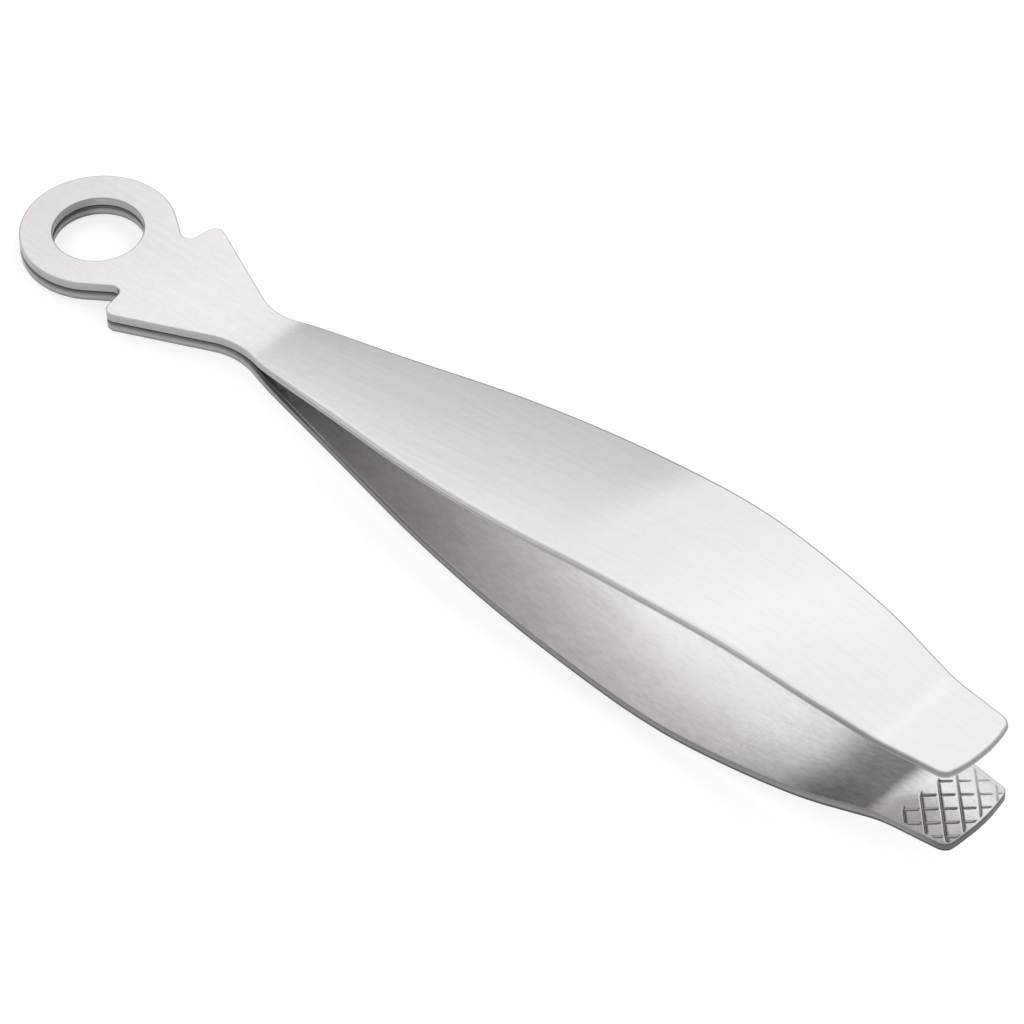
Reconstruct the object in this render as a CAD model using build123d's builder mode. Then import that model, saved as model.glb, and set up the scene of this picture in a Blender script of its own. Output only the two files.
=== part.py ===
from build123d import *

import os
from math import acos, asin, atan2, cos, degrees, hypot, radians, sin, tan

# Fish bone tweezers: two stamped steel leaves, spot-welded face to face at the tail.
# Each leaf is one bent sheet: a hanging ring, a fish-tail shoulder, a narrow neck that flexes,
# a bowed blade and a cross-cut gripping pad. The tool lies as it does on a table: the ring's lower
# edge and the lower blade's belly touch z = 0, with the tips towards +X.
# In the outlines below, lengths run from the centre of the ring, along the plane between the leaves,
# and heights stand square to that plane.

# The sheet
sheet = 1.45  # thickness of one leaf
edge_radius = 0.3  # tumbled rounding of every cut edge
overrun = 2.0  # how far a cutting shape passes beyond the metal

# The tail, seen square to the leaves
ring_radius = 9.5
hole_radius = 5.5
tail_length = 27.7  # centre of the ring to the bend where the leaves part
root_length = 31.3  # centre of the ring to the root, from where the blade widens evenly
notch_radius = 1.1  # inside corner between the ring and the fish-tail shoulder
shoulder_radius = 1.25  # outside corner of the fish-tail shoulder
neck_half_width = 3.05  # before the neck's inside corner is rounded
root_half_width = 4.4
notch_shares = (1.005, 0.52)  # place of the notch, as shares of the ring's radius
shoulder_shares = (1.095, 1.068)  # place of the shoulder, as shares of the ring's radius
neck_place_share = 0.837  # place of the neck, as a share of the length to the root

# The blade, seen from the side
splay_angle = 7.97  # each leaf's slope away from the plane between the leaves
belly_run = 77.3  # bend at the neck to the point under the belly's arc
return_run = 25.0  # that point to the bend where the pad starts
pad_length = 9.6
tip_gap = 10.3  # free gap between the two pads
neck_bend_radius = 25.0
pad_bend_radius = 15.0
belly_round_share = 0.74  # share of the return run that the belly's arc takes

# The blade, seen square to the leaves
blade_half_width = 10.0
tip_half_width = 5.6
tip_corner_radius = 1.4
tip_crown = 0.75  # how far the end stands back at its corners
crown_start_share = 0.39  # share of the half width where the end starts to stand back
widening_shares = (0.372, 1.0)  # place and half width where the blade stops widening
narrowing_shares = (0.676, 1.0)  # place and half width where it starts to narrow
waist_shares = (0.896, 0.826)  # place and half width where it narrows faster
pad_width_share = 0.66  # half width at the pad bend
neck_round_share = 0.62  # shares of the shorter run beside each corner that its arc takes
root_round_share = 0.3
widening_round_share = 0.5
narrowing_round_share = 0.25
waist_round_share = 0.3
pad_round_share = 0.3
crown_round_share = 0.95

# The cross-cut on the inner face of each pad
hatch_length = 7.75  # tip end back to the row of groove ends
groove_pitch = 2.15  # square to the grooves
groove_angle = 43.0  # each way from the length
groove_width = 0.5
groove_depth = 0.25
groove_margin = 0.6  # plain border between the grooves and the pad's edge
groove_rows = 8  # groove starts across the pad, the outer ones beyond its edges

# The spot welds
weld_radius = 2.0
weld_depth = 0.7  # how far a weld reaches into each leaf
weld_shares = (0.475, 0.71)  # places along the tail

# The flexing neck, taken as a hinge
knuckle_radius = 1.75  # round end of the arm, about the hinge line
knuckle_clearance = 0.03
closed_gap = 0.1  # gap left between the tips where the motion ends


def corner_radius(before, here, after, share):
    """Radius of the arc at a corner that takes this share of the shorter run beside it."""
    run_in = Vector(here) - Vector(before)
    run_out = Vector(after) - Vector(here)
    half_turn = radians(run_in.get_angle(run_out)) / 2
    return share * min(run_in.length, run_out.length) / tan(half_turn)


# The leaf's middle line, seen from the side: length and height of each bend
pad_bend_length = tail_length + belly_run + return_run
tip_length = pad_bend_length + pad_length
middle = sheet / 2
neck_bend = (tail_length, middle)
belly_point = (tail_length + belly_run, middle + belly_run * tan(radians(splay_angle)))
pad_bend = (pad_bend_length, tip_gap / 2 + middle)
belly_radius = corner_radius(neck_bend, belly_point, pad_bend, belly_round_share)

# How the tool lies: the plane between the leaves tilts until both contacts are level
slope_up = Vector(belly_point) - Vector(neck_bend)
slope_down = Vector(pad_bend) - Vector(belly_point)
half_belly = radians(slope_up.get_angle(slope_down)) / 2
to_centre = slope_down.normalized() - slope_up.normalized()
belly_centre = Vector(belly_point) + to_centre.normalized() * (belly_radius / cos(half_belly))
belly_outer_radius = belly_radius + middle
end_length = edge_radius - ring_radius
end_height = edge_radius - sheet
contact_run = belly_centre.X - end_length
contact_rise = -belly_centre.Y - end_height
contact_lean = asin((belly_outer_radius - edge_radius) / hypot(contact_run, contact_rise))
tilt = contact_lean - atan2(contact_rise, contact_run)
lift = edge_radius - end_length * sin(tilt) - end_height * cos(tilt)
tip_centre_length = tip_length - edge_radius
tip_centre_height = tip_gap / 2 + sheet - edge_radius
back_reach = end_length * cos(tilt) + end_height * sin(tilt) - edge_radius
front_reach = tip_centre_length * cos(tilt) + tip_centre_height * sin(tilt) + edge_radius
ring_centre = Vector(-(back_reach + front_reach) / 2, 0, lift)
along = Vector(cos(tilt), 0, sin(tilt))
square = Vector(-sin(tilt), 0, cos(tilt))
mid_plane = Plane(origin=ring_centre, x_dir=along, z_dir=square)
side_plane = Plane(origin=ring_centre, x_dir=along, z_dir=(0, -1, 0))


# Reach of the cutting shapes, past every part of a leaf
leaf_height = belly_point[1] + sheet
half_span = max(blade_half_width, ring_radius) + overrun


def ring_end():
    """Where the ring's round outline runs off, in line with the notch."""
    notch_length = notch_shares[0] * ring_radius
    notch_width = notch_shares[1] * ring_radius
    lean = acos(ring_radius / hypot(notch_length, notch_width))
    return degrees(atan2(notch_width, notch_length) + lean)


def outline_corners():
    """Corners of half the leaf's outline, from the ring's run-off to the tip, seen square to it."""
    run = pad_bend_length - root_length
    angle = radians(ring_end())
    return [
        (ring_radius * cos(angle), ring_radius * sin(angle)),
        (notch_shares[0] * ring_radius, notch_shares[1] * ring_radius),
        (shoulder_shares[0] * ring_radius, shoulder_shares[1] * ring_radius),
        (neck_place_share * root_length, neck_half_width),
        (root_length, root_half_width),
        (root_length + widening_shares[0] * run, widening_shares[1] * blade_half_width),
        (root_length + narrowing_shares[0] * run, narrowing_shares[1] * blade_half_width),
        (root_length + waist_shares[0] * run, waist_shares[1] * blade_half_width),
        (pad_bend_length, pad_width_share * blade_half_width),
        (tip_length - tip_crown, tip_half_width),
        (tip_length, crown_start_share * tip_half_width),
        (tip_length, 0),
    ]


def outline_radii(corners):
    """Radius of each corner between the first and the last."""
    shares = [
        neck_round_share,
        root_round_share,
        widening_round_share,
        narrowing_round_share,
        waist_round_share,
        pad_round_share,
    ]
    blade = corners[2:-2]
    rounded = [corner_radius(*blade[i : i + 3], share) for i, share in enumerate(shares)]
    crown_radius = corner_radius(*corners[-3:], crown_round_share)
    return [notch_radius, shoulder_radius, *rounded, tip_corner_radius, crown_radius]


def welds_sketch():
    """The welds' round faces, on the plane between the leaves."""
    with BuildSketch(mid_plane) as welds:
        with Locations(*[(share * tail_length, 0) for share in weld_shares]):
            Circle(weld_radius)
    return welds.sketch


def hatch_sketch():
    """Two crossing sets of grooves on the pad's inner face, inside a plain border."""
    hatch_start = tip_length - hatch_length
    across = groove_pitch / cos(radians(groove_angle))
    first_row = -across * (groove_rows - 1) / 2
    starts = [(hatch_start, first_row + row * across) for row in range(groove_rows)]
    border_end = tip_length - groove_margin
    end_half_width = tip_half_width - groove_margin
    widening = (pad_width_share * blade_half_width - tip_half_width) / pad_length
    start_half_width = end_half_width + widening * hatch_length
    with BuildSketch(mid_plane.offset(tip_gap / 2)) as hatch:
        for turn in (groove_angle, -groove_angle):
            with Locations(*starts):
                groove_align = (Align.MIN, Align.CENTER)
                Rectangle(2 * hatch_length, groove_width, rotation=turn, align=groove_align)
        with BuildLine():
            Polyline(
                (hatch_start - groove_width, -start_half_width),
                (border_end, -end_half_width),
                (border_end, end_half_width),
                (hatch_start - groove_width, start_half_width),
                close=True,
            )
        make_face(mode=Mode.INTERSECT)
    return hatch.sketch


def arm_zone(end_radius):
    """Side view of all that turns with an arm: its round end and everything past the hinge line."""
    with BuildSketch(side_plane) as zone:
        with Locations(neck_bend):
            Circle(end_radius)
            zone_align = (Align.MIN, Align.CENTER)
            Rectangle(tip_length + overrun - tail_length, 2 * leaf_height, align=zone_align)
    return zone.sketch


# The upper leaf, whole: the outline through the bent sheet, with its rims rounded
corners = outline_corners()
with BuildPart() as upper_leaf:
    with BuildSketch(mid_plane):
        with BuildLine():
            CenterArc((0, 0), ring_radius, ring_end(), 180 - ring_end())
            FilletPolyline(*corners, radius=outline_radii(corners))
            Line((tip_length, 0), (-ring_radius, 0))
        make_face()
        mirror(about=Plane.XZ)
        Circle(hole_radius, mode=Mode.SUBTRACT)
    extrude(amount=leaf_height, both=True)
    with BuildSketch(side_plane):
        with BuildLine():
            FilletPolyline(
                (-ring_radius - overrun, middle),
                neck_bend,
                belly_point,
                pad_bend,
                (tip_length + overrun, pad_bend[1]),
                radius=[neck_bend_radius, belly_radius, pad_bend_radius],
            )
            offset(amount=middle)
        make_face()
    extrude(amount=half_span, both=True, mode=Mode.INTERSECT)
    rings = upper_leaf.edges().filter_by(GeomType.CIRCLE)
    rings = rings.filter_by(lambda edge: round(edge.radius, 3) in (ring_radius, hole_radius))
    fillet(rings, radius=edge_radius)

# The upper arm: the blade from the hinge line to the tip, with the cross-cut pad
with BuildPart() as upper_arm:
    add(upper_leaf.part)
    extrude(arm_zone(knuckle_radius), amount=half_span, both=True, mode=Mode.INTERSECT)
    extrude(hatch_sketch(), amount=groove_depth, mode=Mode.SUBTRACT)
upper_arm.part.label = "upper_arm"

# The upper tail plate: ring, shoulder and neck, with a pocket for each weld
with BuildPart() as upper_tail_plate:
    add(upper_leaf.part)
    socket_radius = knuckle_radius + knuckle_clearance
    extrude(arm_zone(socket_radius), amount=half_span, both=True, mode=Mode.SUBTRACT)
    extrude(welds_sketch(), amount=weld_depth, mode=Mode.SUBTRACT)
upper_tail_plate.part.label = "upper_tail_plate"

# The lower leaf is the upper one's mirror image
with BuildPart() as lower_arm:
    mirror(upper_arm.part, about=mid_plane)
lower_arm.part.label = "lower_arm"

with BuildPart() as lower_tail_plate:
    mirror(upper_tail_plate.part, about=mid_plane)
lower_tail_plate.part.label = "lower_tail_plate"

# The welds that hold the two tail plates together
with BuildPart() as spot_welds:
    extrude(welds_sketch(), amount=weld_depth, both=True)
spot_welds.part.label = "spot_welds"

os.makedirs("parts", exist_ok=True)
for piece in (upper_tail_plate, lower_tail_plate, spot_welds, upper_arm, lower_arm):
    export_step(piece.part, f"parts/{piece.part.label}.step")

# Places and angles that describe the finished tool
tip_rise = tip_gap / 2 - middle
tip_reach = hypot(tip_length - tail_length, tip_rise)
tip_lean = atan2(tip_rise, tip_length - tail_length)
closing_angle = tip_lean + asin((middle - closed_gap / 2) / tip_reach)
print("tilt of the plane between the leaves, degrees:", round(degrees(tilt), 3))
print("belly radius:", round(belly_radius, 2))
print("ring centre:", ring_centre)
print("upper hinge:", mid_plane.from_local_coords(Vector(tail_length, 0, middle)))
print("lower hinge:", mid_plane.from_local_coords(Vector(tail_length, 0, -middle)))
print("closing angle of each arm, degrees:", round(degrees(closing_angle), 3))
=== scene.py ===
from math import acos, asin, atan2, ceil, cos, hypot, pi, radians, sin, tan

import bpy
import numpy as np
from mathutils import Matrix, Vector
from mathutils.geometry import delaunay_2d_cdt


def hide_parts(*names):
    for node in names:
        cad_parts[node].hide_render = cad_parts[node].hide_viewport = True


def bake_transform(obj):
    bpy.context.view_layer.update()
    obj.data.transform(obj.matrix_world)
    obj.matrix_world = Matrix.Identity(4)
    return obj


# The look of the fish bone tweezers. Each leaf is one seamless sheet here, as in the real tool:
# it stands for a tail plate and an arm of the frame, and bends at the neck between them.
# Sizes of the leaves are in millimetres, as lengths from the centre of the ring along the plane
# between the leaves; heights stand square to that plane.

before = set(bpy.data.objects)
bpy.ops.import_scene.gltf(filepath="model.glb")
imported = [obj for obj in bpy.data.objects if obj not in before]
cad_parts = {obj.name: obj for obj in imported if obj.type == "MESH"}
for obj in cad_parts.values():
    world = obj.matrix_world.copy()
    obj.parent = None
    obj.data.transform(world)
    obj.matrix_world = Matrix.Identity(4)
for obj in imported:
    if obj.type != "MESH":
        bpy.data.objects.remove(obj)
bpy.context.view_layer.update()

MM = 0.001

# The sheet
SHEET = 1.45
MIDDLE = SHEET / 2

# The tail, seen square to the leaves
RING_RADIUS = 9.5
HOLE_RADIUS = 5.5
TAIL_LENGTH = 27.7
ROOT_LENGTH = 31.3
NOTCH_RADIUS = 1.1
SHOULDER_RADIUS = 1.25
NECK_HALF_WIDTH = 3.05
ROOT_HALF_WIDTH = 4.4
NOTCH = (1.005 * RING_RADIUS, 0.52 * RING_RADIUS)
SHOULDER = (1.095 * RING_RADIUS, 1.068 * RING_RADIUS)
NECK_PLACE = 0.837 * ROOT_LENGTH

# The blade, seen from the side
SPLAY = radians(7.97)
BELLY_RUN = 77.3
RETURN_RUN = 25.0
PAD_LENGTH = 9.6
TIP_GAP = 10.3
NECK_BEND_RADIUS = 45.0
PAD_BEND_RADIUS = 15.0
BELLY_ROUND = 0.74
PAD_BEND = TAIL_LENGTH + BELLY_RUN + RETURN_RUN
TIP = PAD_BEND + PAD_LENGTH

# Where the blade's bend is evened out: the mean of places this far before and behind is taken
EASE = 5.0
EASE_TAPS = (-1, -0.5, 0, 0.5, 1)  # shares of that
EASE_START, EASE_END, EASE_RUN = 72.0, 104.0, 8.0

# The blade, seen square to the leaves. A pair is a place, as a share of the run from the root to
# the pad's bend, and the width there, as a share of the widest
BLADE_HALF_WIDTH = 10.0
TIP_HALF_WIDTH = 5.6
TIP_CORNER_RADIUS = 1.4
TIP_CROWN = 0.75
CROWN_START = 0.39
WIDENING = (0.372, 1.0)
NARROWING = (0.676, 1.0)
WAIST = (0.896, 0.826)
PAD_WIDTH = 0.66  # at its bend, as a share of the widest too
BLADE_ROUNDS = (0.62, 0.3, 0.5, 0.25, 0.3, 0.3)  # how round its corners are, from the neck on
CROWN_ROUND = 0.95

# Each blade is slightly cupped, its hollow towards the other leaf
CUP = radians(2.0)  # slope of its edges
CUP_RISE = 4.0  # lengths over which the hollow begins and ends
CUP_FALL = 14.0

# Radii of the cut edges' rims: worn round on the outside of the blades and under the upper one,
# sharp on the lower one's inner face
TAIL_RIM = 0.22  # the upper leaf's outer rim at the tail
WORN_RIM = 0.62  # and along the blade
LOW_TAIL_RIM = 0.3  # the lower leaf's
LOW_RIM = 0.45
SEAM_RIM = 0.42  # the inner rims where the tail plates meet
UNDER_RIM = 0.72  # the upper blade's inner rim
SHARP_RIM = 0.15  # the lower blade's
TOP_TIP_RIM = 0.36  # the upper leaf's outer rim at its tip, and how far before it that begins
TOP_TIP_RIM_RUN = 20.0
LOW_TIP_RIM = 0.6  # the lower leaf's
LOW_TIP_RIM_RUN = 2.5
BLADE_RIM_START = TAIL_LENGTH + 5.0  # where the tail's rims turn into the blade's
BLADE_RIM_RUN = 14.0

# How near to the wall a rim stays polished, as a power, on the upper leaf and on the lower one
RIM_POLISH = {"outer": 3.8, "wall": 2, "inner": 8}
LOW_POLISH = 2

# How much painted shade darkens the cut edges, from 0 to 1; in the seam it is painted shade with
# some grime
SEAM_SHADE = 0.76  # painted shade with some grime in the seam between the tail plates
SEAM_END = TAIL_LENGTH + 15.0
SEAM_FADE = 12.0
SEAM_ON_WALL = 0.5  # share of it that reaches the lower leaf's wall
SEAM_DEEPENING = 3.0  # how soon it deepens from the wall towards the inner face
BLADE_SHADE_RUN = 10.0  # how far from the tail the blades' own shades reach their full strength
LOW_WALL_SHADE = 0.3  # painted shade on the lower blade's wall
LOW_CORNER_SHADE = 1.0  # its outer rim, half as much at the tail
LOW_INNER_SHADE = 0.45  # its inner rim
LOW_NECK_SHADE = 0.45  # and how much more that is near the neck
LOW_NECK_RUN = 25.0
CORNER_FILL = 1.5  # how soon a rim of the lower leaf is at its full shade
PAD_WALL_SHADE = 0.36  # painted shade on the upper leaf's edge at the pad
PAD_WALL_RUN = 18.0
TOP_TIP_RELIEF = 0.5  # share of that which is gone again at the tip
TOP_WALL_SHADE = 0.25  # painted shade on the upper blade's outer rim, where it meets the wall
TOP_WALL_TURN = radians(50)  # how far a place is turned to the wall where that begins
TOP_WALL_TURNS = radians(25)  # and how much further where it is full
LOW_TIP_SHADE = 0.4  # painted shade on the lower leaf's edge round its tip
TIP_SHADE_RUN = 6.0
HOLE_SHADE = 0.3  # painted shade on one side of the hanging hole's wall
HOLE_SHADE_TOWARDS = Vector((-0.94, -0.34))  # towards where that is
HOLE_SHADE_START, HOLE_SHADE_RISE = 0.8, 2.5  # how far round it begins, and how fast it grows

# Each tip was trimmed on its own: how much longer it is, how far it turns from square, and how
# much longer still its near corner is
UPPER_END = (0.5, 0.0, 0.0)
LOWER_END = (-0.09, 0.035, 0.25)
CORNER_START, CORNER_RUN = 2.0, 3.5
END_RUN = 2.0

# The cross-cut on the inner face of each pad
HATCH_LENGTH = 7.75
HATCH_START = TIP - HATCH_LENGTH
GROOVE_PITCH = 2.15
GROOVE_ANGLE = radians(43.0)
GROOVE_HALF = 0.22
GROOVE_WALL = 0.9 * GROOVE_HALF  # how wide the slope from its edge to its bottom is
GROOVE_DEPTH = 0.2
SHALLOW_DEPTH = 0.9 * GROOVE_DEPTH  # of the set that was pressed first
GROOVE_MARGIN = 0.35
GROOVE_LEAD = 2 * GROOVE_HALF  # how far before the cross-cut's length its grooves run out
GROOVE_FADE = 0.25  # how far from its border a groove reaches its full depth
LIP_REACH = 0.5
DEEP_LIP, SHALLOW_LIP = 0.01, 0.004  # how high the lips of the two sets stand
SQUEEZED = 0.7  # how far before a deep groove the shallow ones are pressed shut
FAR_DEPTH = 0.2  # share of the depth that the grooves keep at the pad's far side

# Where the tool lies in the frame
TILT = radians(4.992)
RING_CENTRE = Vector((-65.0273, 0, 2.2462))
ALONG = Vector((cos(TILT), 0, sin(TILT)))
SQUARE = Vector((-sin(TILT), 0, cos(TILT)))
ACROSS = Vector((0, 1, 0))

# Fineness of the meshes
OUTLINE_STEP = 0.5
TURN_STEP = radians(5)
RIM_TURNS = 6
GRID_STEP = 0.8
GRID_HALF = 12.0  # how far to each side the even grid is laid, before it is cut to the outline
EDGE_GAP = 0.35  # how near to a rim its places come
FINE_START = HATCH_START - 0.7  # where the finer mesh of the cross-cut begins
FINE_GAP = 0.1  # how near to that the even grid comes
FINE_EDGE_GAP = 0.08
GROOVE_LINES = (0, 0.08, 0.16, 0.25, 0.33, 0.45, 0.6, 0.8)  # how far from a groove's middle
GROOVE_COUNT = 6  # grooves of one set on each side of the middle, before they are cut to the pad
SAME_PLACE = 1e-7


def smooth(value):
    """0 to 1 with level ends."""
    value = min(1.0, max(0.0, value))
    return value * value * (3 - 2 * value)


def corner_radius(before, here, after, share):
    """Radius of the arc at a corner that takes this share of the shorter run beside it."""
    run_in = Vector(here) - Vector(before)
    run_out = Vector(after) - Vector(here)
    return share * min(run_in.length, run_out.length) / tan(run_in.angle(run_out) / 2)


def arc(centre, radius, start, end):
    """Points of an arc and their directions away from its centre, both ends included."""
    turn = abs(end - start)
    steps = max(1, ceil(max(turn / TURN_STEP, turn * radius / OUTLINE_STEP)))
    for i in range(steps + 1):
        angle = start + (end - start) * i / steps
        out = Vector((cos(angle), sin(angle)))
        yield Vector(centre) + radius * out, out


def straight(start, end):
    """Points inside a straight run, with its left-hand side as their direction."""
    run = end - start
    steps = max(1, ceil(run.length / OUTLINE_STEP))
    left = Vector((-run.y, run.x)).normalized()
    for i in range(1, steps):
        yield start + run * i / steps, left


def rounded_path(corners, radii):
    """Points along runs rounded at their corners, with the left-hand direction at each."""
    points = []
    here = Vector(corners[0])
    for before, corner, after, radius in zip(corners, corners[1:], corners[2:], radii):
        run_in = (Vector(corner) - Vector(before)).normalized()
        run_out = (Vector(after) - Vector(corner)).normalized()
        turn = -run_in.angle_signed(run_out)
        reach = radius * tan(abs(turn) / 2)
        start = Vector(corner) - run_in * reach
        points += straight(here, start)
        side = 1 if turn > 0 else -1
        left = Vector((-run_in.y, run_in.x))
        centre = start + left * radius * side
        first = atan2(-left.y * side, -left.x * side)
        points += [(p, out * -side) for p, out in arc(centre, radius, first, first + turn)]
        here = Vector(corner) + run_out * reach
    points += straight(here, Vector(corners[-1]))
    return points


def outline():
    """The leaf's outline as points and outward directions, once round from the ring's end."""
    run = PAD_BEND - ROOT_LENGTH
    lean = acos(RING_RADIUS / hypot(*NOTCH))
    ring_end = atan2(NOTCH[1], NOTCH[0]) + lean
    shoulders = [
        NOTCH,
        SHOULDER,
        (NECK_PLACE, NECK_HALF_WIDTH),
        (ROOT_LENGTH, ROOT_HALF_WIDTH),
        (ROOT_LENGTH + WIDENING[0] * run, WIDENING[1] * BLADE_HALF_WIDTH),
        (ROOT_LENGTH + NARROWING[0] * run, NARROWING[1] * BLADE_HALF_WIDTH),
        (ROOT_LENGTH + WAIST[0] * run, WAIST[1] * BLADE_HALF_WIDTH),
        (PAD_BEND, PAD_WIDTH * BLADE_HALF_WIDTH),
        (TIP - TIP_CROWN, TIP_HALF_WIDTH),
        (TIP, CROWN_START * TIP_HALF_WIDTH),
        (TIP, 0),
    ]
    corners = [shoulders[i + 1 : i + 4] for i in range(len(BLADE_ROUNDS))]
    radii = [corner_radius(*corner, share) for corner, share in zip(corners, BLADE_ROUNDS)]
    crown = corner_radius(*shoulders[-3:], CROWN_ROUND)
    radii = [NOTCH_RADIUS, SHOULDER_RADIUS, *radii, TIP_CORNER_RADIUS, crown]
    ring = list(arc((0, 0), RING_RADIUS, pi, ring_end))
    ring_point = (RING_RADIUS * cos(ring_end), RING_RADIUS * sin(ring_end))
    half = ring + rounded_path([ring_point, *shoulders], radii)
    half.append((Vector((TIP, 0)), Vector((1, 0))))
    mirrored = [(Vector((p.x, -p.y)), Vector((n.x, -n.y))) for p, n in half[-2:0:-1]]
    return half + mirrored


def hole_outline():
    """The hanging hole's edge, with directions that leave the metal."""
    return [(p, -out) for p, out in list(arc((0, 0), HOLE_RADIUS, 0, 2 * pi))[:-1]]


def bends():
    """The middle line's arcs: first and last length, centre, radius and side of the centre."""
    heights = (MIDDLE, MIDDLE + BELLY_RUN * tan(SPLAY), MIDDLE + TIP_GAP / 2)
    places = (TAIL_LENGTH, TAIL_LENGTH + BELLY_RUN, PAD_BEND)
    line = [(-RING_RADIUS, MIDDLE), *zip(places, heights), (TIP, heights[-1])]
    belly_radius = corner_radius(*line[1:4], BELLY_ROUND)
    found = []
    for i, radius in enumerate((NECK_BEND_RADIUS, belly_radius, PAD_BEND_RADIUS)):
        before, here, after = (Vector(p) for p in line[i : i + 3])
        run_in = (here - before).normalized()
        run_out = (after - here).normalized()
        side = 1 if run_out.y > run_in.y else -1
        reach = radius * tan(run_in.angle(run_out) / 2)
        start = here - run_in * reach
        centre = start + Vector((-run_in.y, run_in.x)) * radius * side
        found.append((start.x, (here + run_out * reach).x, centre, radius, side))
    return found


BENDS = bends()


def bent_line(length):
    """Height and slope of the middle line of straight runs and arcs."""
    height, slope, here = MIDDLE, 0.0, -RING_RADIUS
    for start, end, centre, radius, side in BENDS:
        if length <= start:
            break
        reached = min(length, end)
        slope = asin(side * (reached - centre.x) / radius)
        height = centre.y - side * radius * cos(slope)
        here = end
    if length > here:
        height += (length - here) * tan(slope)
    return height, slope


def middle_line(length):
    """Height and slope of a leaf's middle line, eased where the straight run becomes the belly."""
    reach = EASE * smooth((length - EASE_START) / EASE_RUN)
    reach *= smooth((EASE_END - length) / EASE_RUN)
    if not reach:
        return bent_line(length)
    taps = [bent_line(length + reach * share) for share in EASE_TAPS]
    return [sum(values) / len(taps) for values in zip(*taps)]


def half_width(length):
    """Half width of a blade before its outline's corners are rounded."""
    run = PAD_BEND - ROOT_LENGTH
    shares = (WIDENING, NARROWING, WAIST)
    places = [ROOT_LENGTH, *(ROOT_LENGTH + along * run for along, _ in shares), PAD_BEND, TIP]
    widths = [wide * BLADE_HALF_WIDTH for _, wide in shares]
    widths = [ROOT_HALF_WIDTH, *widths, PAD_WIDTH * BLADE_HALF_WIDTH, TIP_HALF_WIDTH]
    return float(np.interp(length, places, widths))


def end_reach(place, side):
    """How much further the tip's own end puts a place of the plain outline."""
    longer, turned, corner = UPPER_END if side > 0 else LOWER_END
    near = smooth((-place.y - CORNER_START) / CORNER_RUN)
    reach = longer - turned * place.y + corner * near
    return reach * smooth((place.x - TIP + END_RUN) / END_RUN)


def on_sheet(place, offset, side):
    """Point of the leaf over a place of its outline, and the sheet's own directions there."""
    height, slope = middle_line(place.x)
    cup = CUP * smooth((place.x - TAIL_LENGTH) / CUP_RISE)
    cup *= smooth((PAD_BEND - place.x) / CUP_FALL)
    width = half_width(place.x)
    height -= cup * place.y**2 / (2 * width)
    lean = cup * place.y / width
    forward = ALONG * cos(slope) + SQUARE * sin(slope) * side
    up = SQUARE * cos(slope) * side - ALONG * sin(slope)
    across = (ACROSS - up * lean).normalized()
    up = (up + ACROSS * lean).normalized()
    length = place.x + end_reach(place, side)
    sideways = place.y - lean * MIDDLE
    point = RING_CENTRE + ALONG * length + ACROSS * sideways + SQUARE * height * side
    return point + up * offset, forward, across, up


def groove_form(distance, depth, lip):
    """Height of a pressed groove at this distance from its middle: a channel with a lip."""
    distance = abs(distance)
    if distance < GROOVE_HALF:
        return -depth * smooth((GROOVE_HALF - distance) / GROOVE_WALL)
    # The lip rises over the first quarter of its reach and falls over the second half
    beyond = (distance - GROOVE_HALF) / (LIP_REACH - GROOVE_HALF)
    return lip * smooth(4 * beyond) * smooth(2 - 2 * beyond)


def hatch_half_width(length):
    """Half width of the cross-cut's area."""
    widening = (PAD_WIDTH * BLADE_HALF_WIDTH - TIP_HALF_WIDTH) / PAD_LENGTH
    return TIP_HALF_WIDTH - GROOVE_MARGIN + widening * (TIP - GROOVE_MARGIN - length)


def hatch_height(place):
    """How far the pad's inner face stands from the plain sheet here, below nought in a groove."""
    along = place.x - HATCH_START
    inside = min(TIP - GROOVE_MARGIN - place.x, hatch_half_width(place.x) - abs(place.y))
    if along < -GROOVE_LEAD or inside < 0:
        return 0.0
    offsets = []
    for turn in (-1, 1):
        line = cos(GROOVE_ANGLE) * place.y - turn * sin(GROOVE_ANGLE) * along
        offsets.append(line % GROOVE_PITCH - GROOVE_PITCH / 2)
    deep = groove_form(offsets[0], GROOVE_DEPTH, DEEP_LIP)
    shallow = groove_form(offsets[1], SHALLOW_DEPTH, SHALLOW_LIP)
    # The deep grooves were pressed last, and pushed metal into the shallow ones on one side
    if offsets[0] < 0:
        shallow *= smooth(-2 * offsets[0] / SQUEEZED - 1)
    fade = smooth(inside / GROOVE_FADE) * smooth(along / GROOVE_LEAD + 1)
    fade *= 1 - (1 - FAR_DEPTH) * smooth((place.y + TIP_HALF_WIDTH) / (2 * TIP_HALF_WIDTH))
    low = min(deep, shallow)
    return fade * (low if low < 0 else max(deep, shallow))


def even_grid():
    """Places all over the leaf, every other row half a step aside."""
    rows = np.arange(-RING_RADIUS, TIP, GRID_STEP)
    columns = np.arange(-GRID_HALF, GRID_HALF + GRID_STEP / 2, GRID_STEP)
    return [(x, y + (GRID_STEP / 2 if i % 2 else 0)) for i, x in enumerate(rows) for y in columns]


def groove_grid():
    """Places where lines along the two sets of grooves cross."""
    offsets = [s for distance in GROOVE_LINES for s in {distance, -distance}] + [GROOVE_PITCH / 2]
    middles = [k * GROOVE_PITCH + GROOVE_PITCH / 2 for k in range(-GROOVE_COUNT, GROOVE_COUNT)]
    lines = [middle + offset for middle in middles for offset in offsets]
    places = []
    for a in lines:
        for b in lines:
            x = HATCH_START + (b - a) / 2 / sin(GROOVE_ANGLE)
            if FINE_START < x < TIP:
                places.append((x, (a + b) / 2 / cos(GROOVE_ANGLE)))
    return places


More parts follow.
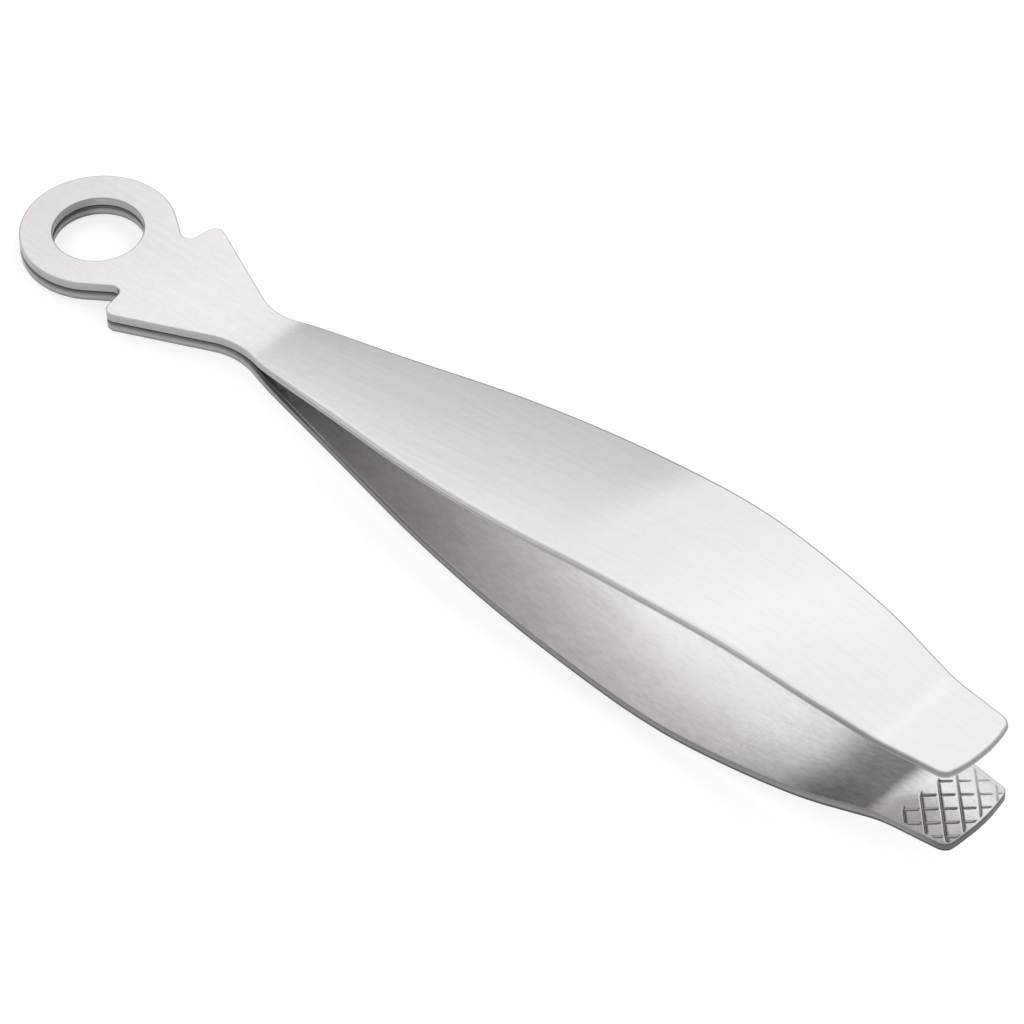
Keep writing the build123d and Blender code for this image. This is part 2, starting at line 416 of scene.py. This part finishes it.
def inside_of(loop, places):
    """Which places lie inside a closed loop."""
    crossings = np.zeros(len(places), int)
    for (x0, y0), (x1, y1) in zip(loop, np.roll(loop, -1, 0)):
        if y0 == y1:
            continue
        between = (places[:, 1] >= min(y0, y1)) & (places[:, 1] < max(y0, y1))
        at = x0 + (places[:, 1] - y0) / (y1 - y0) * (x1 - x0)
        crossings += between & (at > places[:, 0])
    return crossings % 2 == 1


def grid_places(loops, hatch):
    """Places between the rims: an even grid, and along the grooves where the pad is cross-cut."""
    places = even_grid()
    if hatch:
        places = [p for p in places if p[0] < FINE_START - FINE_GAP] + groove_grid()
    places = np.array(places)
    places = places[inside_of(np.array(loops[0]), places)]
    places = places[np.hypot(places[:, 0], places[:, 1]) > HOLE_RADIUS + TAIL_RIM]
    rims = np.array([p for loop in loops for p in loop])
    gap = np.array([np.hypot(*(rims - p).T).min() for p in places])
    fine = places[:, 0] > FINE_START
    return places[gap > np.where(fine & hatch, FINE_EDGE_GAP, EDGE_GAP)]


def rim_radius(length, outer, side):
    """Rounding of the cut edge on the outer or inner face."""
    if outer:
        tail, blade = (TAIL_RIM, WORN_RIM) if side > 0 else (LOW_TAIL_RIM, LOW_RIM)
    else:
        tail, blade = SEAM_RIM, UNDER_RIM if side > 0 else SHARP_RIM
    rim = tail + (blade - tail) * smooth((length - BLADE_RIM_START) / BLADE_RIM_RUN)
    if outer:
        tip, run = (TOP_TIP_RIM, TOP_TIP_RIM_RUN) if side > 0 else (LOW_TIP_RIM, LOW_TIP_RIM_RUN)
        rim += (tip - rim) * smooth((length - TIP + run) / run)
    return rim


def rim_shade(length, turn, part, side):
    """How much painted shade, with some grime in the seam, darkens a place on the cut edge, turned
    this far from a face towards the wall.
    """
    across = sin(turn) ** 2
    shade = 0.0
    if part == "inner":
        shade = smooth((SEAM_ON_WALL if side < 0 else 0) + SEAM_DEEPENING * (1 - sin(turn)))
        shade *= SEAM_SHADE * smooth((SEAM_END - length) / SEAM_FADE)
    blade = smooth((length - TAIL_LENGTH) / BLADE_SHADE_RUN)
    tip = smooth((length - TIP + TIP_SHADE_RUN) / TIP_SHADE_RUN)
    if side > 0:
        pad = smooth((length - PAD_BEND + PAD_WALL_RUN) / PAD_WALL_RUN)
        shade += PAD_WALL_SHADE * across * pad * (1 - TOP_TIP_RELIEF * tip)
        if part == "outer":
            shade += TOP_WALL_SHADE * blade * smooth((turn - TOP_WALL_TURN) / TOP_WALL_TURNS)
    elif part == "wall":
        shade += LOW_WALL_SHADE * blade + LOW_TIP_SHADE * tip
    else:
        # Near the neck means within one run of it, and it is gone after two
        neck = smooth(2 - (length - TAIL_LENGTH) / LOW_NECK_RUN)
        corner = LOW_CORNER_SHADE * (1 + blade) / 2
        if part == "inner":
            corner = (LOW_INNER_SHADE + LOW_NECK_SHADE * neck) * blade
        shade += (corner + LOW_TIP_SHADE * tip) * min(1.0, CORNER_FILL * across)
    return min(1.0, shade)


class Sheet:
    """One whole leaf as it is put together: side is 1 for the upper one, -1 for its mirror."""

    def __init__(self, side):
        self.side = side
        self.points, self.normals, self.faces = [], [], []
        self.places, self.marks = [], []

    def point(self, place, offset, normal, edge=0.0, cut=0.0, shade=0.0):
        """Adds the point over a place of the outline and gives its number."""
        at, forward, across, up = on_sheet(place, offset, self.side)
        self.points.append(at * MM)
        self.normals.append(forward * normal[0] + across * normal[1] + up * normal[2])
        self.places.append((place.x, place.y, offset))
        self.marks.append((edge, cut, shade))
        return len(self.points) - 1

    def face(self, *corners):
        """Adds a face, turned over where the leaf is mirrored."""
        self.faces.append(corners if self.side > 0 else corners[::-1])

    def finished(self, name):
        """The leaf as an object, with what its steel needs to know at each point."""
        mesh = bpy.data.meshes.new(name)
        mesh.from_pydata(self.points, [], self.faces)
        mesh.validate()
        mesh.polygons.foreach_set("use_smooth", [True] * len(mesh.polygons))
        for kind, values in (("sheet_place", self.places), ("sheet_mark", self.marks)):
            attribute = mesh.attributes.new(kind, "FLOAT_VECTOR", "POINT")
            attribute.data.foreach_set("vector", np.array(values, np.float32).ravel())
        mesh.update()
        mesh.normals_split_custom_set_from_vertices([tuple(n) for n in self.normals])
        leaf = bpy.data.objects.new(name, mesh)
        bpy.context.scene.collection.objects.link(leaf)
        return leaf


def edge_point(sheet, place, out, part, turn, in_hole):
    """Adds a point of the cut edge, turned this far from a face towards the wall."""
    facing = {"outer": 1, "wall": 0, "inner": -1}[part]
    rim = rim_radius(place.x, part == "outer", sheet.side)
    at = place - out * rim * (1 - sin(turn))
    offset = (MIDDLE - rim + rim * cos(turn)) * facing
    normal = (out.x * sin(turn), out.y * sin(turn), cos(turn) * facing)
    edge = sin(turn) ** (RIM_POLISH[part] if sheet.side > 0 else LOW_POLISH)
    shade = rim_shade(place.x, turn, part, sheet.side)
    # Painted shade on one side of the hanging hole's wall
    if in_hole:
        turned = place.dot(HOLE_SHADE_TOWARDS)
        shaded = smooth(HOLE_SHADE_RISE * turned / HOLE_RADIUS - HOLE_SHADE_START)
        shade = min(1.0, shade + HOLE_SHADE * edge * shaded)
    return sheet.point(at, offset, normal, edge, 0.0, shade)


def cut_edge(sheet, loop, in_hole):
    """The rounded cut edge along a loop, as rows of points from the outer face to the inner."""
    turns = [radians(90) * k / RIM_TURNS for k in range(RIM_TURNS + 1)]
    profile = [("outer", turn) for turn in turns]
    profile += [("wall", turns[-1])] + [("inner", turn) for turn in turns[::-1]]
    rows = [[edge_point(sheet, p, n, *stage, in_hole) for p, n in loop] for stage in profile]
    for one, other in zip(rows, rows[1:]):
        for i in range(len(loop)):
            j = (i + 1) % len(loop)
            sheet.face(one[i], one[j], other[j], other[i])
    return rows


def face_point(sheet, place, top):
    """Adds a point of the outer or inner face, pressed in where the pad is cross-cut."""
    if top:
        return sheet.point(place, MIDDLE, (0, 0, 1))
    height = hatch_height(place)
    # No direction leaves the shading of the grooves to Blender
    normal = (0, 0, 0) if place.x > FINE_START else (0, 0, -1)
    return sheet.point(place, -MIDDLE - height, normal, cut=max(0.0, -height) / GROOVE_DEPTH)


def broad_face(sheet, loops, rings, top):
    """The outer or inner face, between the rings of points where the rims begin."""
    edges = [[p - n * rim_radius(p.x, top, sheet.side) for p, n in loop] for loop in loops]
    places = [p for edge in edges for p in edge]
    places += [Vector(p) for p in grid_places(edges, not top)]
    sealed, first = [], 0
    for edge in edges:
        sealed += [(first + i, first + (i + 1) % len(edge)) for i in range(len(edge))]
        first += len(edge)
    inside_only = 1
    found = delaunay_2d_cdt(places, sealed, [], inside_only, SAME_PLACE)
    points, _, triangles, origins, _, _ = found
    known = [number for ring in rings for number in ring]
    numbers = []
    for point, origin in zip(points, origins):
        if origin and origin[0] < len(known):
            numbers.append(known[origin[0]])
        else:
            numbers.append(face_point(sheet, point, top))
    for triangle in triangles:
        a, b, c = (points[i] for i in triangle)
        if ((a + b + c) / 3).length < HOLE_RADIUS + rim_radius(0, top, sheet.side):
            continue
        facing_up = (b - a).cross(c - a) > 0
        corners = triangle if facing_up == top else triangle[::-1]
        sheet.face(*(numbers[i] for i in corners))


def leaf_mesh(name, side):
    """One whole leaf: its two cut edges, round the outline and in the hole, and its two faces."""
    sheet = Sheet(side)
    loops = [outline(), hole_outline()]
    rows = [cut_edge(sheet, loops[0], False), cut_edge(sheet, loops[1], True)]
    for top in (True, False):
        broad_face(sheet, loops, [edge[0 if top else -1] for edge in rows], top)
    return sheet.finished(name)


# The colours of the materials
BRIGHT = (0.845, 0.82, 0.815, 1)
DARK = (0.78, 0.755, 0.75, 1)
RUBBED = (0.2, 0.195, 0.195, 1)
ROLLED = (0.9, 0.875, 0.868, 1)
# the dark end of the inner face's painted shade and of its random dullness
ROLLED_SHADE_AND_DULL = (0.09, 0.08, 0.078, 1)
BURNISHED = (0.38, 0.368, 0.365, 1)
TORN = (0.34, 0.328, 0.325, 1)
# colour of painted shade, and of grime in the seam, grooves and pad specks
SHADE_AND_GRIME = (0.06, 0.056, 0.055, 1)
STRAW = (0.5, 0.42, 0.33, 1)
BLUE = (0.45, 0.47, 0.52, 1)
FLOOR = (0.72, 0.72, 0.72, 1)
WHITE = (1, 1, 1, 1)

# The sheet's noises: cycles per millimetre along, across and through it, and their detail
NOISES = {
    "fine": ((0.12, 9.0, 2.0), 3.0),
    "coarse": ((0.03, 1.4, 1.0), 2.0),
    "cloud": ((0.05, 0.09, 0.3), 2.0),
    "mottle": ((0.8, 2.2, 0.3), 6.0),
    "smudge": ((0.25, 0.5, 0.3), 6.0),
    "wear": ((0.5, 0.5, 4.0), 4.0),
}
MEAN = 0.5  # of a noise, and of the tone between the two colours
NOISE_RANGE = (0.3, 0.7)  # nearly all of a noise lies between these

# How one value follows another: between its first two numbers it goes from the third to the
# fourth, and it is held beyond them. It follows the length where nothing else is said.
TAIL_GRAIN = (18.0, 34.0, 0.35, 1.0)  # the fine grain is polished down at the tail
BLADE_TONE = (60.0, 100.0, 1.6, 0.85)  # how much the grain's colours differ
RING_PLACE = (4.0, 16.0, 1.0, 0.0)  # where the hanging ring is rubbed
RING_RUB = (-8.0, 6.0, 0.18, 0.09)  # and how much
INNER_PART = (-0.4, -0.7, 0.0, 1.0)  # by the depth in the sheet: what is its inner face
INNER_FACE_SHADE = (  # painted shade on it, near the root between the leaves and round the pad's bend, as a sum
    (58.0, 88.0, 0.29, 0.0),
    (36.0, 49.0, 0.14, 0.0),
    (106.0, 116.0, 0.0, 0.16),
    (116.0, 121.0, 0.0, 0.35),
    (128.0, 131.0, 0.0, -0.41),
    (131.0, 138.0, 0.0, 0.08),
)
SIDE_SHADE = (2.5, 8.5, 0.0, 0.25)  # painted shade towards its sides, by the distance from the blade's middle
SIDE_SHADE_RUN = (66.0, 90.0, 0.0, 1.0)
INNER_ROUGH = ((34.0, 60.0, 0.38, 0.16), (104.0, 118.0, 0.0, -0.1))  # as a sum
WALL_PART = (0.05, 1.0, 0.0, 1.0)  # by how much of an edge it is: what is sheared wall
TORN_PART = (0.5, -0.6, 0.0, 1.0)  # by the depth in the sheet: what of that is torn
SPECK_SIZE = (0.06, 0.16, 0.5, 0.0)  # by the distance from a speck's middle
SPECK_PATCHES = (0.48, 0.56, 0.0, 1.0)  # by the smudges
SPECK_RUN = (HATCH_START, HATCH_START + 1.0, 0.0, 1.0)  # only the pad has them
GROOVE_SHADE_AND_GRIME = (0.0, 0.3, 0.0, 0.7)  # painted shade with some grime at a groove's bottom, by how deep the groove is
HEAT_TINT = (0.35, 0.65, 0.0, 1.0)  # by the weld's own noise

# How strong the noises are in each place, and how fine the specks and the weld's noise are
TONES = {"fine": 0.4, "coarse": 0.25, "mottle": 0.35}
FINE_ROUGH = (0.12, 0.16)
CLOUD_ROUGH = 0.02
RING_WANDER = 3.0
INNER_WANDER = {"smudge": 0.04, "mottle": 0.06}
WALL_WANDER = 0.06
TORN_WANDER = 0.2
WALL_ROUGH = 0.18
SPECK_SCALE = 1.6
COARSE_RELIEF = 0.6
WELD_ROUGH = (0.4, 0.6)
WELD_SCALE, WELD_DETAIL = 900.0, 4.0


def node(tree, kind, inputs=(), **settings):
    """A new node with its settings and its inputs, each a value or another node's output."""
    made = tree.nodes.new(kind)
    for key, value in settings.items():
        setattr(made, key, value)
    for key, value in dict(inputs).items():
        if isinstance(value, bpy.types.NodeSocket):
            tree.links.new(value, made.inputs[key])
        else:
            made.inputs[key].default_value = value
    return made


def streaks(tree, place, scale, detail):
    """Noise drawn out along the sheet."""
    stretched = node(tree, "ShaderNodeVectorMath", {0: place, 1: scale}, operation="MULTIPLY")
    inputs = {"Vector": stretched.outputs[0], "Scale": 1.0, "Detail": detail}
    return node(tree, "ShaderNodeTexNoise", inputs).outputs[0]


def spread(tree, value, low, high, to_low, to_high):
    """Maps a value from one range to another, held at its ends."""
    inputs = {0: value, 1: low, 2: high, 3: to_low, 4: to_high}
    return node(tree, "ShaderNodeMapRange", inputs).outputs[0]


def wander(tree, noise, amount):
    """Noise that goes this far to each side of nought."""
    return spread(tree, noise, *NOISE_RANGE, -amount, amount)


def maths(tree, operation, first, second):
    """The result of an operation on two values."""
    return node(tree, "ShaderNodeMath", {0: first, 1: second}, operation=operation).outputs[0]


def total(tree, first, *others):
    """The sum of values."""
    for other in others:
        first = maths(tree, "ADD", first, other)
    return first


def mixed(tree, share, first, second):
    """Colour between two colours."""
    inputs = {0: share, 6: first, 7: second}
    return node(tree, "ShaderNodeMix", inputs, data_type="RGBA").outputs[2]


def new_material(name):
    """An empty material and its node tree."""
    material = bpy.data.materials.new(name)
    material.use_nodes = True
    tree = material.node_tree
    tree.nodes.clear()
    return material, tree


def bare_metal(tree, colour, rough, relief, strength, depth):
    """Ends a material as bare metal with a relief this many metres deep."""
    bump = node(tree, "ShaderNodeBump", {"Strength": strength, "Distance": depth, "Height": relief})
    inputs = {
        "Base Color": colour,
        "Metallic": 1.0,
        "Roughness": rough,
        "Normal": bump.outputs[0],
    }
    shader = node(tree, "ShaderNodeBsdfPrincipled", inputs)
    node(tree, "ShaderNodeOutputMaterial", {0: shader.outputs[0]})


def outer_finish(tree, noise, length):
    """Colour and roughness of the polished outer face; the hanging ring is rubbed duller."""
    tones = [maths(tree, "MULTIPLY", noise[name], share) for name, share in TONES.items()]
    tone = wander(tree, total(tree, *tones), MEAN)
    tone = maths(tree, "MULTIPLY", tone, spread(tree, length, *BLADE_TONE))
    colour = mixed(tree, maths(tree, "ADD", tone, MEAN), DARK, BRIGHT)
    rough = spread(tree, noise["fine"], *NOISE_RANGE, *FINE_ROUGH)
    rough = maths(tree, "ADD", rough, wander(tree, noise["cloud"], CLOUD_ROUGH))
    rubbed = maths(tree, "ADD", length, wander(tree, noise["cloud"], RING_WANDER))
    rubbed = spread(tree, rubbed, *RING_PLACE)
    rubbed = maths(tree, "MULTIPLY", rubbed, spread(tree, length, *RING_RUB))
    return mixed(tree, rubbed, colour, RUBBED), rough


def inner_finish(tree, noise, length, across):
    """Colour and added roughness of the inner face, as rolled and a little cloudy, with painted
    shade near the root, round the pad's bend and towards its sides.
    """
    sideways = spread(tree, maths(tree, "ABSOLUTE", across, 0.0), *SIDE_SHADE)
    sideways = maths(tree, "MULTIPLY", sideways, spread(tree, length, *SIDE_SHADE_RUN))
    shade_and_dull = [spread(tree, length, *row) for row in INNER_FACE_SHADE] + [sideways]
    shade_and_dull += [wander(tree, noise[name], amount) for name, amount in INNER_WANDER.items()]
    rough = total(tree, *(spread(tree, length, *row) for row in INNER_ROUGH))
    return mixed(tree, total(tree, *shade_and_dull), ROLLED, ROLLED_SHADE_AND_DULL), rough


def wall_finish(tree, noise, edge, depth):
    """Colour of the sheared wall, burnished outside and torn inside, and what is wall."""
    wall = maths(tree, "ADD", edge, wander(tree, noise["wear"], WALL_WANDER))
    torn = maths(tree, "ADD", depth, wander(tree, noise["wear"], TORN_WANDER))
    colour = mixed(tree, spread(tree, torn, *TORN_PART), BURNISHED, TORN)
    return colour, spread(tree, wall, *WALL_PART)


def pad_specks(tree, noise, place, length, inner):
    """How grimy the pad's inner face is with small specks."""
    speck = node(tree, "ShaderNodeTexVoronoi", {"Vector": place, "Scale": SPECK_SCALE}).outputs[0]
    speck = spread(tree, speck, *SPECK_SIZE)
    speck = maths(tree, "MULTIPLY", speck, spread(tree, noise["smudge"], *SPECK_PATCHES))
    pad = maths(tree, "MULTIPLY", spread(tree, length, *SPECK_RUN), inner)
    return maths(tree, "MULTIPLY", speck, pad)


def leaf_steel():
    """Satin stainless sheet: a fine grain along the tool, tumbled rims, darker walls, and painted
    shade on its edges, between the leaves and in the grooves.
    """
    material, tree = new_material("leaf_steel")
    place = node(tree, "ShaderNodeAttribute", attribute_name="sheet_place").outputs["Vector"]
    mark = node(tree, "ShaderNodeAttribute", attribute_name="sheet_mark").outputs["Vector"]
    length, across, depth = node(tree, "ShaderNodeSeparateXYZ", {0: place}).outputs
    edge, cut, shade = node(tree, "ShaderNodeSeparateXYZ", {0: mark}).outputs
    noise = {name: streaks(tree, place, *kind) for name, kind in NOISES.items()}
    fine = maths(tree, "SUBTRACT", noise["fine"], MEAN)
    fine = maths(tree, "MULTIPLY", fine, spread(tree, length, *TAIL_GRAIN))
    noise["fine"] = maths(tree, "ADD", fine, MEAN)

    colour, rough = outer_finish(tree, noise, length)
    inner = spread(tree, depth, *INNER_PART)
    rolled, coarser = inner_finish(tree, noise, length, across)
    colour = mixed(tree, inner, colour, rolled)
    rough = maths(tree, "ADD", rough, maths(tree, "MULTIPLY", inner, coarser))
    sheared, wall = wall_finish(tree, noise, edge, depth)
    colour = mixed(tree, wall, colour, sheared)
    rough = maths(tree, "ADD", rough, maths(tree, "MULTIPLY", wall, WALL_ROUGH))

    # Painted shade darkens the cut edges; in the seam between the plates and at the bottom of the
    # pressed grooves it comes with some grime, and the pad has specks of grime
    shade_and_grime = maths(tree, "MAXIMUM", shade, spread(tree, cut, *GROOVE_SHADE_AND_GRIME))
    shade_and_grime = maths(tree, "MAXIMUM", shade_and_grime, pad_specks(tree, noise, place, length, inner))
    colour = mixed(tree, shade_and_grime, colour, SHADE_AND_GRIME)
    relief = maths(tree, "MULTIPLY", noise["coarse"], COARSE_RELIEF)
    relief = maths(tree, "ADD", noise["fine"], relief)
    bare_metal(tree, colour, rough, relief, strength=0.6, depth=0.000002)
    return material


def weld_steel():
    """Fused steel with the blue and straw tints of its heat."""
    material, tree = new_material("weld_steel")
    place = node(tree, "ShaderNodeTexCoord").outputs["Object"]
    inputs = {"Vector": place, "Scale": WELD_SCALE, "Detail": WELD_DETAIL}
    cloud = node(tree, "ShaderNodeTexNoise", inputs).outputs[0]
    tint = mixed(tree, spread(tree, cloud, *HEAT_TINT), STRAW, BLUE)
    rough = spread(tree, cloud, *NOISE_RANGE, *WELD_ROUGH)
    bare_metal(tree, tint, rough, cloud, strength=0.5, depth=0.00005)
    return material


# The surroundings. The light of the world follows the height above the horizon, with rows as
# above
FLOOR_HALF = 3.0  # in metres
FLOOR_GLOW = 0.5  # how much of the floor's white is its own, where it is seen
FAR_LIGHT = (  # what lies on the far side as well as on the tail's side, as a sum
    (0.12, 0.24, 0.75, 0.04),
    (0.375, 0.41, 0.0, 0.713),
    (0.4785, 0.4905, 0.0, 0.327),
    (0.5085, 0.5485, 0.0, -0.046),
    (0.57, 0.63, 0.0, 0.028),
    (0.64, 0.76, 0.0, 0.071),
    (0.78, 0.84, 0.0, -0.08),
)
NEAR_LIGHT = (0.0, 0.9, 0.6, 1.0)  # and everywhere else
FAR_SIDE = (-0.2, 0.15, 0.0, 1.0)  # by the direction across the tool
TAIL_SIDE = (0.2, -0.1, 0.0, 1.0)  # by the direction along it

# The photograph's camera, with its aim and its distance from there in millimetres
AZIMUTH, ELEVATION, ROLL = radians(41.674), radians(48.004), radians(1.814)
AIM = Vector((5.171, -3.090, 10.0))
DISTANCE = 1084.37
LENS, SENSOR = 330.35, 36.0
CLIP_START, CLIP_END = 0.01, 50.0  # in metres


def seen_directly(tree):
    """1 for what the camera sees, straight, in a reflection or through glass."""
    rays = node(tree, "ShaderNodeLightPath")
    seen = maths(tree, "MAXIMUM", rays.outputs["Is Camera Ray"], rays.outputs["Is Glossy Ray"])
    return maths(tree, "MAXIMUM", seen, rays.outputs["Is Transmission Ray"])


def floor_paint():
    """Matt white table: what is seen of it is white, and it throws back a little less light."""
    material, tree = new_material("floor_paint")
    matt = node(tree, "ShaderNodeBsdfDiffuse", {"Color": FLOOR})
    share = maths(tree, "MULTIPLY", seen_directly(tree), FLOOR_GLOW)
    white = node(tree, "ShaderNodeEmission", {"Strength": share})
    shader = node(tree, "ShaderNodeAddShader", {0: matt.outputs[0], 1: white.outputs[0]})
    node(tree, "ShaderNodeOutputMaterial", {0: shader.outputs[0]})
    return material


def make_floor():
    """One plain square under everything."""
    mesh = bpy.data.meshes.new("floor")
    corners = [(x * FLOOR_HALF, y * FLOOR_HALF, 0) for x, y in ((-1, -1), (1, -1), (1, 1), (-1, 1))]
    mesh.from_pydata(corners, [], [(0, 1, 2, 3)])
    mesh.materials.append(floor_paint())
    floor = bpy.data.objects.new("floor", mesh)
    bpy.context.scene.collection.objects.link(floor)


def make_world():
    """Plain studio surroundings: a wide soft light overhead, dim below it, and a pale horizon."""
    world = bpy.data.worlds.new("studio")
    bpy.context.scene.world = world
    world.use_nodes = True
    tree = world.node_tree
    tree.nodes.clear()
    place = node(tree, "ShaderNodeTexCoord").outputs["Generated"]
    along, across, up = node(tree, "ShaderNodeSeparateXYZ", {0: place}).outputs
    far = total(tree, *(spread(tree, up, *row) for row in FAR_LIGHT))
    near = spread(tree, up, *NEAR_LIGHT)
    # The near side and the tips' side are dimmer and even
    share = spread(tree, across, *FAR_SIDE)
    share = maths(tree, "MULTIPLY", share, spread(tree, along, *TAIL_SIDE))
    near = maths(tree, "MULTIPLY", near, maths(tree, "SUBTRACT", 1.0, share))
    strength = maths(tree, "ADD", near, maths(tree, "MULTIPLY", far, share))
    background = node(tree, "ShaderNodeBackground", {"Color": WHITE, "Strength": strength})
    node(tree, "ShaderNodeOutputWorld", {0: background.outputs[0]})


def make_camera():
    """The photograph's view: a long lens, from the near side of the tips."""
    forward = Vector(
        (-sin(AZIMUTH) * cos(ELEVATION), cos(AZIMUTH) * cos(ELEVATION), -sin(ELEVATION))
    )
    level = Vector((cos(AZIMUTH), sin(AZIMUTH), 0))
    rise = level.cross(forward)
    right = level * cos(ROLL) + rise * sin(ROLL)
    up = rise * cos(ROLL) - level * sin(ROLL)
    camera = bpy.data.objects.new("camera", bpy.data.cameras.new("camera"))
    bpy.context.scene.collection.objects.link(camera)
    camera.data.sensor_width = SENSOR
    camera.data.lens = LENS
    camera.data.clip_start = CLIP_START
    camera.data.clip_end = CLIP_END
    turned = Matrix((right, up, -forward)).transposed().to_4x4()
    camera.matrix_world = Matrix.Translation(AIM * MM - forward * (DISTANCE * MM)) @ turned
    bpy.context.scene.camera = camera


def make_leaf(name, side, nodes, steel):
    """A leaf that follows the tail up to the bend and its blade beyond."""
    leaf = leaf_mesh(name, side)
    leaf.data.materials.append(steel)
    start = on_sheet(Vector((TAIL_LENGTH, 0)), 0, side)[0] * MM
    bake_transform(leaf)
    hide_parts(*nodes)


steel = leaf_steel()
make_leaf("upper_leaf", 1, ("upper_tail_plate", "upper_arm"), steel)
make_leaf("lower_leaf", -1, ("lower_tail_plate", "lower_arm"), steel)
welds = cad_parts["spot_welds"]
welds.data.materials.clear()
welds.data.materials.append(weld_steel())

make_floor()
make_world()
make_camera()
bpy.context.scene.view_settings.view_transform = "Standard"
